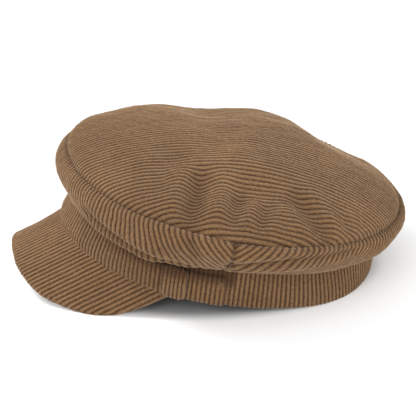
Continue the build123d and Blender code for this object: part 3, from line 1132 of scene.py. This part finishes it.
for node, material in (
    ("care_label", tape_cloth),
    ("size_label", tape_cloth),
    ("sweatband_joint_tape", tape_cloth),
    ("strap_end_tacks", thread),
):
    for obj in bpy.data.objects:
        if obj.name == node or obj.name.startswith(node + "."):
            obj.data.materials.clear()
            obj.data.materials.append(material)

# ---------------------------------------------------------------- stage
scene = bpy.context.scene
floor_mesh = bpy.data.meshes.new("floor")
floor_mesh.from_pydata([(-6, -6, 0), (6, -6, 0), (6, 6, 0), (-6, 6, 0)], [], [(0, 1, 2, 3)])
floor = bpy.data.objects.new("floor", floor_mesh)
scene.collection.objects.link(floor)
floor_paint, floor_tree, floor_shader = new_material("floor paint")
floor_shader.inputs["Base Color"].default_value = (0.90, 0.90, 0.90, 1)
floor_shader.inputs["Roughness"].default_value = 0.9
floor_mesh.materials.append(floor_paint)
ray = floor_tree.nodes.new("ShaderNodeLightPath")
glow = floor_tree.nodes.new("ShaderNodeEmission")
spot = floor_tree.nodes.new("ShaderNodeTexCoord")
reach = floor_tree.nodes.new("ShaderNodeMapping")
reach.vector_type = "TEXTURE"
reach.inputs["Scale"].default_value = (0.095, 0.125, 1)
away = floor_tree.nodes.new("ShaderNodeVectorMath")
away.operation = "LENGTH"
# painted shade: the floor's own colour gives way to a white glow for the camera away from the cap, so the
# floor is darker round the cap than further out, besides the cap's own shadow
clear = floor_tree.nodes.new("ShaderNodeMapRange")
clear.interpolation_type = "SMOOTHSTEP"
clear.inputs["From Min"].default_value = 0.80
clear.inputs["From Max"].default_value = 1.45
clear.inputs["To Max"].default_value = 0.75
floor_tree.links.new(spot.outputs["Object"], reach.inputs[0])
floor_tree.links.new(reach.outputs[0], away.inputs[0])
floor_tree.links.new(away.outputs["Value"], clear.inputs["Value"])
# the floor is painted darker under the cap, besides the cap's own shadow
under = floor_tree.nodes.new("ShaderNodeMapRange")
under.interpolation_type = "SMOOTHSTEP"
under.inputs["From Min"].default_value = 0.82
under.inputs["From Max"].default_value = 1.00
under.inputs["To Min"].default_value = 0.28
under.inputs["To Max"].default_value = 0.90
floor_tree.links.new(away.outputs["Value"], under.inputs["Value"])
floor_tree.links.new(under.outputs[0], floor_shader.inputs["Base Color"])
seen = floor_tree.nodes.new("ShaderNodeMath")
seen.operation = "MULTIPLY"
floor_tree.links.new(clear.outputs[0], seen.inputs[1])
floor_mix = floor_tree.nodes.new("ShaderNodeMixShader")
floor_tree.links.new(ray.outputs["Is Camera Ray"], seen.inputs[0])
floor_tree.links.new(seen.outputs[0], floor_mix.inputs[0])
floor_tree.links.new(floor_shader.outputs[0], floor_mix.inputs[1])
floor_tree.links.new(glow.outputs[0], floor_mix.inputs[2])
floor_tree.links.new(floor_mix.outputs[0], floor_tree.nodes["Material Output"].inputs["Surface"])

world = bpy.data.worlds.new("studio")
world.use_nodes = True
world.node_tree.nodes["Background"].inputs[0].default_value = (1, 1, 1, 1)
world.node_tree.nodes["Background"].inputs[1].default_value = 0.80
scene.world = world


def direction(way):
    """Angles that point an object's -Z along a way, with its +Y as near up as it can be."""
    return Vector(way).to_track_quat("-Z", "Y").to_euler()


def soft_light(name, place, aim, size, power):
    """A square area light that looks at a place."""
    data = bpy.data.lights.new(name, "AREA")
    data.shape = "SQUARE"
    data.size = size
    data.energy = power
    obj = bpy.data.objects.new(name, data)
    scene.collection.objects.link(obj)
    obj.location = place
    way = np.array(aim) - np.array(place)
    obj.rotation_euler = direction(way)


soft_light("key light", (1.4, -0.7, 0.8), (0, 0, 0.05), 0.9, 17)
soft_light("fill light", (1.0, 1.5, 0.5), (0, 0.03, 0.03), 0.8, 26)
soft_light("top light", (-0.5, -1.0, 1.3), (0, 0, 0.05), 0.8, 34)

camera_data = bpy.data.cameras.new("camera")
camera = bpy.data.objects.new("camera", camera_data)
scene.collection.objects.link(camera)
azimuth, elevation, distance = math.radians(85.0), math.radians(22.8), 1.5
aim = np.array([0.0, 0.0112, 0.062])
back = np.array(
    [
        math.sin(azimuth) * math.cos(elevation),
        -math.cos(azimuth) * math.cos(elevation),
        math.sin(elevation),
    ]
)
camera.location = aim + back * distance
camera.rotation_euler = direction(-back)
camera_data.sensor_width = 36.0
camera_data.lens = 190.8
camera_data.shift_x = -15 / 416
camera_data.shift_y = -30 / 416
camera_data.clip_end = 50
scene.camera = camera
scene.view_settings.view_transform = "Standard"
